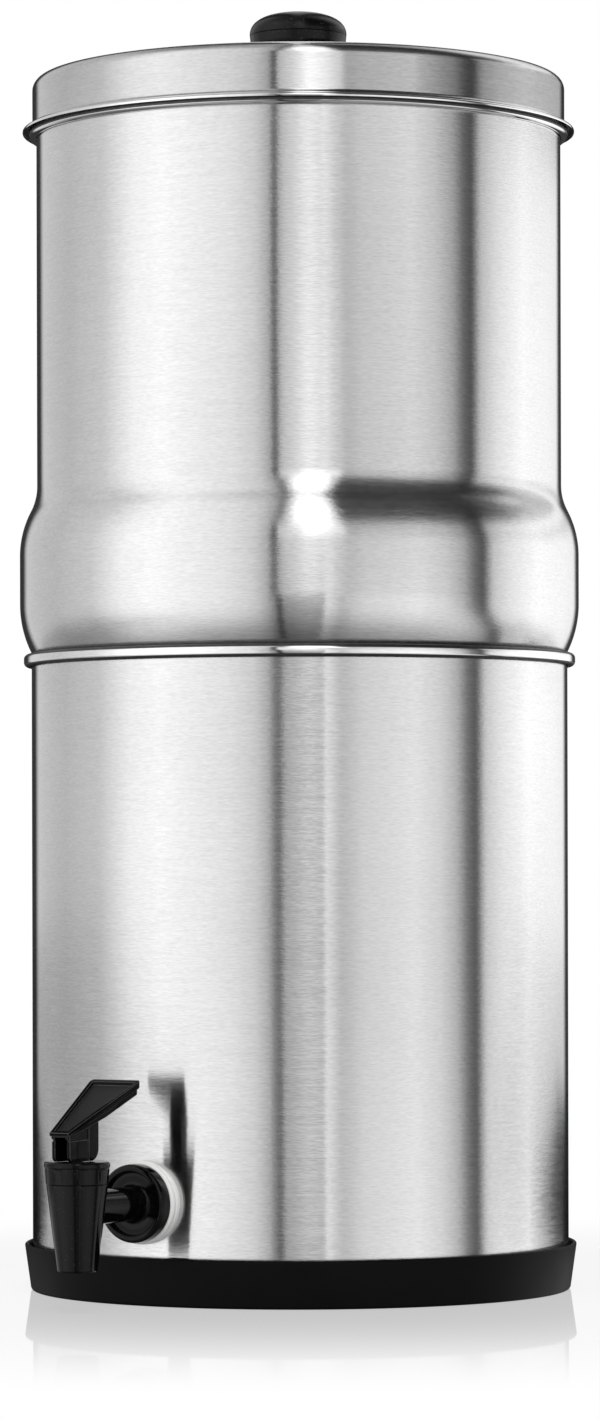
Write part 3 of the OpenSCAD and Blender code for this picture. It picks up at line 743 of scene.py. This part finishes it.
at_spout = Matrix.Translation((0, -spout_at * mm, 0))
shank_and_arm = rounded(
    [
        (0, shank_end, 0),
        (shank_d / 2, shank_end, 1.0),
        (shank_d / 2, flange_back, 0),
        (flange_d / 2, flange_back, 0.5),
        (flange_d / 2, flange_face, 1.7),
        (flange_d / 2 - flange_rim, flange_face, 0.5),
        (flange_d / 2 - flange_rim - flange_slope, flange_face - flange_dish, 0.6),
        (arm_d / 2, flange_face - flange_dish, 2.0),
        (arm_d / 2, spout_at - arm_overlap, 0),
        (0, spout_at - arm_overlap, 0),
    ]
)
neck_r = spout_top_d / 2 - neck_inset
spout_outline = rounded(
    [
        (0, spout_low, 0),
        (spout_tip_d / 2, spout_low, 1.0),
        (spout_top_d / 2, spout_neck, 0.25),
        (neck_r, spout_neck, 0),
        (neck_r, body_top, 0),
        (0, body_top, 0),
    ],
    10,
)
tap = lathe("tap_casting", spout_outline, 128, place=at_spout)
carve(tap, "UNION", lathe("arm", shank_and_arm, 128, place=tap_axis))
carve(
    tap,
    "DIFFERENCE",
    drill(arm_bore, shank_end - 1, spout_at, tap_axis),
    drill(valve_bore, seat_z, bonnet_top, at_spout),
    drill(seat_hole, spout_low, bonnet_top, at_spout),
    drill(outlet_d, spout_low - 1, outlet_top, at_spout),
)
fit(tap, black_plastic, "black_plastic", "lower_unit", "tap_body")


# ---- Tap bonnet ----
# A black ring that screws down over the body and holds the valve. Its upper edge is a smooth rounded band
# above a fine groove, and shallow flats below it give a grip.
bonnet_top_d = 27.0
bonnet_band = 2.7
band_proud = 0.15
groove_depth = 0.42
bonnet_hole = 4.8
bonnet_clear = 0.1
grip_count = 8
grip_depth = 0.22
grip_half_width = math.radians(15)

bonnet_low_r = spout_top_d / 2 + bonnet_clear
bonnet_lean = (bonnet_top_d / 2 - bonnet_low_r) / (bonnet_top - spout_neck)
band_z = bonnet_top - bonnet_band
band_r = bonnet_top_d / 2 - bonnet_lean * bonnet_band
skirt_r = band_r - band_proud
groove_r = band_r - groove_depth
roof_z = bonnet_top - bonnet_roof
bonnet = lathe(
    "bonnet_ring",
    rounded(
        [
            (neck_r + bonnet_clear, spout_neck + bonnet_clear, 0),
            (bonnet_low_r, spout_neck + bonnet_clear, 0.3),
            (skirt_r - bonnet_lean * 3, band_z - 3.2, 0),
            (skirt_r, band_z - 0.35, 0),
            (groove_r, band_z - 0.12, 0),
            (groove_r, band_z + 0.06, 0),
            (band_r, band_z + 0.3, 0.2),
            (bonnet_top_d / 2, bonnet_top, 1.1),
            (bonnet_hole / 2, bonnet_top, 0.2),
            (bonnet_hole / 2, roof_z, 0),
            (neck_r + bonnet_clear, roof_z, 0),
        ],
        10,
    ),
    turns=192,
)
grip_low = spout_neck + 0.9
grip_high = band_z - 0.2
for vert in bonnet.data.vertices:
    away = math.hypot(vert.co.x, vert.co.y)
    if grip_low < vert.co.z / mm < grip_high and away > (neck_r + 0.5) * mm:
        turn_by = math.atan2(vert.co.y, vert.co.x) % (2 * math.pi / grip_count) - math.pi / grip_count
        if abs(turn_by) < grip_half_width:
            vert.co.xy *= 1 - grip_depth * mm / away
bonnet.data.transform(at_spout)
fit(bonnet, black_plastic, "black_plastic", "lower_unit", "tap_bonnet")


def metal_skin(spot):
    cloud = spot.noise(400, 2)
    return {"Base Color": cloud.blend(grey(0.50), grey(0.62)), "Roughness": 0.18 + 0.12 * cloud}


pin_steel = material("pin_steel", {"Metallic": 1.0}, metal_skin)


def finish(node, skin):
    """Gives a CAD node its own material."""
    cad[node].data.materials.clear()
    cad[node].data.materials.append(skin)


def springy(name, node, skin, slot):
    """A piece in a CAD node's shape, with a mesh of its own."""
    piece = bpy.data.objects.new(name, cad[node].data.copy())
    piece.data.materials.clear()
    scene.collection.objects.link(piece)
    fit(piece, skin, slot, "lower_unit", node)
    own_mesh(piece)


finish("valve_stem", black_plastic)
finish("stem_pin", pin_steel)
springy("seat_seal", "seat_cup", white_silicone, "white_silicone")
springy("closing_spring", "valve_spring", pin_steel, "spring_steel")


# ---- Tap lever ----
# A black thumb paddle on a fork. The paddle has a raised rim round a matt recess and a stepped side, and the
# fork straddles the stem on its cross pin, so that its heel rolls on the bonnet and lifts the valve.
slope = math.tan(math.radians(27))
paddle_front = -12.4
paddle_back = 26.98
paddle_rise = 11.8
paddle_front_half = 4.65
paddle_back_half = 12.6
paddle_nose = 2.6
paddle_drop = 4.94
paddle_rim = 1.7
recess = 1.5
fork_half = 4.5
fork_sink = 0.9
slot_half = 3.0
slot_top = bonnet_top + paddle_rise - 1.7
fork_front = -10.9
toe_r = 2.2
heel_y = 3.6
heel_r = 4.9
pin_z = bonnet_top + 5.0
pin_d = 2.3
foot_z = bonnet_top + 0.1
fork_back = heel_y + heel_r
pad_top = bonnet_top + 8.3
side_cut = 0.55
groove_y = 1.6
groove_width = 0.7


def paddle_top(y):
    return bonnet_top + paddle_rise + (y - paddle_front) * slope


def paddle_half(y):
    share = (y - paddle_front) / (paddle_back - paddle_front)
    return paddle_front_half + (paddle_back_half - paddle_front_half) * share


def bar(name, stations, corner=0.0):
    """A bar along Y through stations (y, half width, bottom, top). corner rounds its far upright edges."""
    bm = bmesh.new()
    rings = []
    for y, half, low, high in stations:
        corners = [(-half, low), (half, low), (half, high), (-half, high)]
        rings.append([bm.verts.new((x * mm, y * mm, z * mm)) for x, z in corners])
    for near, far in zip(rings, rings[1:]):
        for k in range(4):
            bm.faces.new([near[k], near[(k + 1) % 4], far[(k + 1) % 4], far[k]])
    bm.faces.new(rings[0])
    bm.faces.new(rings[-1][::-1])
    if corner:
        far_end = [e for e in bm.edges if all(v in rings[-1] for v in e.verts)]
        upright = [e for e in far_end if e.verts[0].co.x * e.verts[1].co.x > 0]
        bmesh.ops.bevel(bm, geom=upright, offset=corner * mm, segments=6, profile=0.5, affect="EDGES")
    return object_from(bm, name, 20)


def side_plate(name, outline, low_x, high_x):
    """A plate across the lever in an outline of (y, z), from one x to another."""
    bm = bmesh.new()
    near = [bm.verts.new((low_x * mm, y * mm, z * mm)) for y, z in outline]
    far = [bm.verts.new((high_x * mm, y * mm, z * mm)) for y, z in outline]
    for k in range(len(outline)):
        j = (k + 1) % len(outline)
        bm.faces.new([near[k], near[j], far[j], far[k]])
    bm.faces.new(near)
    bm.faces.new(far[::-1])
    return object_from(bm, name, 20)


def paddle_layer(name, inset, top_down, bottom_share, corner):
    """One layer of the paddle, drawn in from its outline, from a depth below the top face."""
    stations = []
    for y in (paddle_front + inset * 0.5, fork_back, paddle_back - inset):
        drop = paddle_nose if y < 0 else paddle_drop
        low = paddle_top(y) - drop * bottom_share
        stations.append((y, paddle_half(y) - inset, low, paddle_top(y) - top_down))
    return bar(name, stations, corner)


lever = paddle_layer("lever", 0, 0, 0.52, 1.9)
recess_cut = bar(
    "recess",
    [
        (y, paddle_half(y) - paddle_rim, paddle_top(y) - recess, paddle_top(y) + 6)
        for y in (paddle_front + paddle_rim, paddle_back - paddle_rim)
    ],
    0.9,
)
fork_outline = (
    arc(fork_front + toe_r, foot_z + toe_r, toe_r, 180, 270, 15)
    + arc(heel_y, pin_z, heel_r, -90, 0, 10)
    + [
        (fork_back, paddle_top(fork_back) - paddle_drop + fork_sink),
        (fork_front, paddle_top(fork_front) - paddle_nose + fork_sink),
    ]
)
carve(lever, "UNION", paddle_layer("skirt", 0.75, 0.6, 1, 1.5))
carve(lever, "UNION", side_plate("fork", fork_outline, -fork_half, fork_half))
side_groove = [
    (groove_y, foot_z - 1),
    (groove_y + groove_width, foot_z - 1),
    (groove_y + groove_width, pad_top + 5.1),
    (groove_y, pad_top + 4.7),
]
side_pocket = [
    (fork_front - 1, pad_top),
    (groove_y + 0.1, pad_top + 0.35),
    (groove_y + 0.1, pad_top + 5.3),
    (-8.6, pad_top + 0.85),
    (fork_front - 1, pad_top + 0.7),
]
for side in (-1, 1):
    low_x, high_x = sorted((side * (fork_half + 1), side * (fork_half - side_cut)))
    carve(lever, "DIFFERENCE", side_plate("groove", side_groove, low_x, high_x))
    carve(lever, "DIFFERENCE", side_plate("pocket", side_pocket, low_x, high_x))
pin_line = Matrix.Translation((0, 0, pin_z * mm)) @ Matrix.Rotation(math.pi / 2, 4, "Y")
carve(
    lever,
    "DIFFERENCE",
    recess_cut,
    bar("slot", [(y, slot_half, bonnet_top - 1, slot_top) for y in (-15, 5.8)]),
    drill(pin_d, -4.1, 4.1, pin_line, 32),
)
lever.data.transform(at_spout)


def thumb_skin(spot):
    grain = spot.noise(1500, 2)
    return {
        "Base Color": grain.blend(grey(0.006), grey(0.022)),
        "Roughness": 0.42 + 0.2 * grain,
        "Normal": bump(grain, 0.05),
    }


# The lever's bevelled edges: a glossier plastic, and paler in colour as a painted highlight along each edge
def edge_highlight_skin(spot):
    cloud = spot.noise(260, 2)
    return {"Base Color": cloud.blend(grey(0.03), grey(0.11)), "Roughness": 0.22 + 0.15 * cloud}


thumb_grip = material("thumb_grip", {"Specular IOR Level": 0.16}, thumb_skin)
lever_plastic = material("lever_plastic", {"Specular IOR Level": 0.07}, plastic_skin(0.05, 0.2))
lever_edge_highlight = material("lever_edge_highlight", {"Specular IOR Level": 0.5}, edge_highlight_skin)
fit(lever, lever_plastic, "black_plastic", "lever", "lever_handle")
lever.data.materials.append(thumb_grip)
lever.data.materials.append(lever_edge_highlight)
# The bevels take the edge material, which paints a highlight along every edge
bevel(lever, 0.28, 28, skin=2)
for face in lever.data.polygons:
    y = face.center.y / mm + spout_at
    sunk = paddle_top(y) - face.center.z / mm
    inside = abs(face.center.x / mm) < paddle_half(y) - paddle_rim and paddle_front + paddle_rim < y
    if inside and recess - 0.1 < sunk < recess + 0.1 and face.normal.z > 0.8:
        face.material_index = 1


# ---- Upper chamber ----
# A second pot of the same brushed sheet. Its neck hangs inside the lower chamber, the shoulder of its bulge
# rests on the lower rim, and four holes in its floor take filter elements.
neck_out = 112.7
upper_foot = 244.5
upper_corner = 8.0
bulge_r = 119.2
shoulder_r = 46.0
upper_r = 111.8
blend_height = 30.0
hollow_height = 11.0
bulge_height = 20.5
upper_wall = 150.0
upper_rim = 1.9
upper_rim_flat = 0.6
seat_gap = 0.25
hole_pitch = 80.0
floor_hole = 13.0

rest_r = lower_r - sheet + lower_rim
shoulder_mid = bulge_r - shoulder_r
shoulder_z = lower_top - lower_rim + math.sqrt(
    (shoulder_r + lower_rim + seat_gap) ** 2 - (rest_r - shoulder_mid) ** 2
)
shoulder_turn = math.degrees(math.acos((neck_out - shoulder_mid) / shoulder_r))
bulge_z = shoulder_z + bulge_height
blend_turn = math.degrees(2 * math.atan((bulge_r - upper_r) / blend_height))
blend_r = (blend_height - hollow_height) / math.sin(math.radians(blend_turn))
hollow_r = hollow_height / math.sin(math.radians(blend_turn))
wall_z = bulge_z + blend_height
upper_rim_r = upper_r - sheet + upper_rim
upper_rim_z = wall_z + upper_wall


def upper_skin(depth):
    return (
        [(0, upper_foot + depth), (neck_out - upper_corner - 1, upper_foot + depth)]
        + arc(neck_out - upper_corner, upper_foot + upper_corner, upper_corner - depth, -90, 0, 6)
        + arc(shoulder_mid, shoulder_z, shoulder_r - depth, -shoulder_turn + 0.5, 0, 2)
        + arc(bulge_r - blend_r, bulge_z, blend_r - depth, 0, blend_turn, 2)
        + arc(upper_r + hollow_r, wall_z, hollow_r + depth, 180 + blend_turn, 180, 2)[1:]
        + rolled_rim(upper_rim_r, upper_rim_z, upper_rim, upper_rim_flat, sheet - depth)
    )


upper = lathe("upper_pot", upper_skin(0) + upper_skin(sheet)[::-1], turns=256)
hole_places = [(sx * hole_pitch / 2, sy * hole_pitch / 2) for sx, sy in ((-1, 1), (1, 1), (1, -1), (-1, -1))]
carve(
    upper,
    "DIFFERENCE",
    *[
        drill(floor_hole, upper_foot - 1, upper_foot + 2, Matrix.Translation((x * mm, y * mm, 0)), 48)
        for x, y in hole_places
    ],
)
fit(upper, brushed_steel, "steel_sheet", "upper_unit", "upper_chamber")
# The bead's outer band, in the shade of the lid's lip, is painted dark as shade
polish_rim_and_paint_shade(upper, upper_rim_z - upper_rim - upper_rim_flat - 0.6, upper_r - sheet - 0.1, -0.1, 0.3)


# ---- Filter element ----
# A chalky ceramic shell over a block of pressed carbon, potted in a white plastic cap. The cap's hollow stem
# goes through the floor, with a rubber washer above it and a wing nut below. Rubber plugs close the other
# holes.
def ceramic_skin(spot):
    cloud = spot.noise(30, 3)
    pores = spot.noise(1800, 3)
    return {
        "Base Color": cloud.blend((0.80, 0.78, 0.73, 1), (0.88, 0.87, 0.84, 1)),
        "Roughness": 0.82 + 0.1 * pores,
        "Normal": bump(pores, 0.06),
    }


def carbon_skin(spot):
    grain = spot.noise(1400, 4)
    return {
        "Base Color": grain.blend(grey(0.008), grey(0.06)),
        "Roughness": 0.7 + 0.2 * grain,
        "Normal": bump(grain, 0.15),
    }


def white_plastic_skin(spot):
    cloud = spot.noise(90, 2)
    return {
        "Base Color": cloud.blend((0.74, 0.75, 0.76, 1), (0.82, 0.83, 0.83, 1)),
        "Roughness": 0.34 + 0.12 * cloud,
        "Normal": bump(spot.noise(600, 2), 0.02),
    }


white_plastic = material("white_plastic", {}, white_plastic_skin)
finish("filter_shell", material("filter_ceramic", {}, ceramic_skin))
finish("filter_carbon", material("carbon_block", {}, carbon_skin))
finish("filter_cap", white_plastic)
seal_rubber = material("seal_rubber", {"Specular IOR Level": 0.35}, rubber_skin)
finish("filter_washer", seal_rubber)
finish("hole_plugs", seal_rubber)
finish("filter_wing_nut", white_plastic)


# ---- Lid ----
# Pressed from thinner sheet: a slightly crowned top, a rounded shoulder, a skirt and a lip flared out at its
# foot. It is brushed like the chambers and lifts off.
lid_sheet = 0.7
lid_r = 113.5
lid_shoulder = 5.0
lid_skirt = 20.5
lid_crown = 3.5
lip_width = 4.2
lip_angle = 70.0
lip_in = 1.2
lip_out = 0.9
lip_tip = -15.0
lip_end = 0.3
screw_hole_r = 2.7
knob_foot_r = 12.5

sine, cosine = math.sin(math.radians(lip_angle)), math.cos(math.radians(lip_angle))
lip_z = upper_rim_z + (upper_rim + seat_gap + lid_sheet - (lid_r - upper_rim_r) * cosine) / sine
lid_edge = lip_z + lid_skirt
lid_top = lid_edge + lid_crown
lip_bend_z = lip_z + lip_in * math.tan(math.radians(lip_angle / 2))
lip_turn_r = lid_r + lip_width - lip_out
lip_turn_z = lip_z - (lip_turn_r + lip_out * cosine - lid_r) * cosine / sine - lip_out * sine
tip = math.radians(lip_tip)
tip_r = lip_turn_r + lip_out * math.cos(tip) + lip_end * math.sin(tip)
tip_z = lip_turn_z + lip_out * math.sin(tip) - lip_end * math.cos(tip)


def lid_skin(depth):
    flat_r = knob_foot_r + 1
    crown_r = lid_r - lid_shoulder
    steps = 14
    crown = []
    for i in range(steps):
        share = i / steps
        r = flat_r + (crown_r - flat_r) * share
        crown.append((r, lid_edge - depth + lid_crown * (1 - share * share)))
    return (
        [(screw_hole_r, lid_top - depth)]
        + crown
        + arc(crown_r, lid_edge - lid_shoulder, lid_shoulder - depth, 90, 0, 6)
        + arc(lid_r + lip_in, lip_bend_z, lip_in + depth, 180, 180 + lip_angle, 9)
        + arc(lip_turn_r, lip_turn_z, lip_out - depth, lip_angle, lip_tip, 12)
        + [(tip_r - depth * math.cos(tip), tip_z - depth * math.sin(tip))]
    )


lid = lathe("lid_shell", lid_skin(0) + lid_skin(lid_sheet)[::-1], turns=256)
lid_steel = material("lid_steel", brushed, steel_skin(brushed_rough, 0.1, 0.86))
fit(lid, lid_steel, "steel_sheet", "lid_unit", "lid_pan")
# The lip's underside is painted dark as shade
polish_rim_and_paint_shade(lid, 0, lid_r + 0.4, 0.75)


# ---- Lid knob ----
# A black moulded bun on a narrow waist, held from below by a screw and a silicone washer. A faint parting
# line runs round its widest part.
knob_r = 20.7
knob_height = 25.5
knob_equator = 15.7
knob_waist_r = 10.0
knob_bore_top = 13
knob_bore_r = screw_hole_r - 0.2
fullness = 2.4

dome = []
for degrees in range(3, 90, 3):
    a = math.radians(degrees)
    dome_r = knob_r * math.cos(a) ** (2 / fullness)
    dome.append((dome_r, knob_equator + (knob_height - knob_equator) * math.sin(a) ** (2 / fullness)))
knob_outline = (
    rounded(
        [
            (screw_hole_r, 0, 0),
            (knob_foot_r, 0, 0.3),
            (knob_foot_r, 1.2, 0.4),
            (knob_waist_r, 5.6, 3),
            (knob_waist_r + 0.8, 9.2, 2),
            (knob_r - 0.6, 10.3, 2.2),
            (knob_r - 0.1, knob_equator - 0.3, 0),
        ],
        10,
    )
    + [(knob_r - 0.28, knob_equator - 0.1), (knob_r - 0.05, knob_equator + 0.12)]
    + dome
    + [(0, knob_height), (0, knob_bore_top), (knob_bore_r, knob_bore_top)]
)
knob = lathe("knob_bun", knob_outline, 128, place=Matrix.Translation((0, 0, lid_top * mm)))
knob_plastic = material("knob_plastic", {"Specular IOR Level": 0.22}, plastic_skin(0.22, 0.6))
fit(knob, knob_plastic, "black_plastic", "lid_unit", "lid_knob")
finish("knob_washer", white_silicone)
finish("knob_screw", pin_steel)
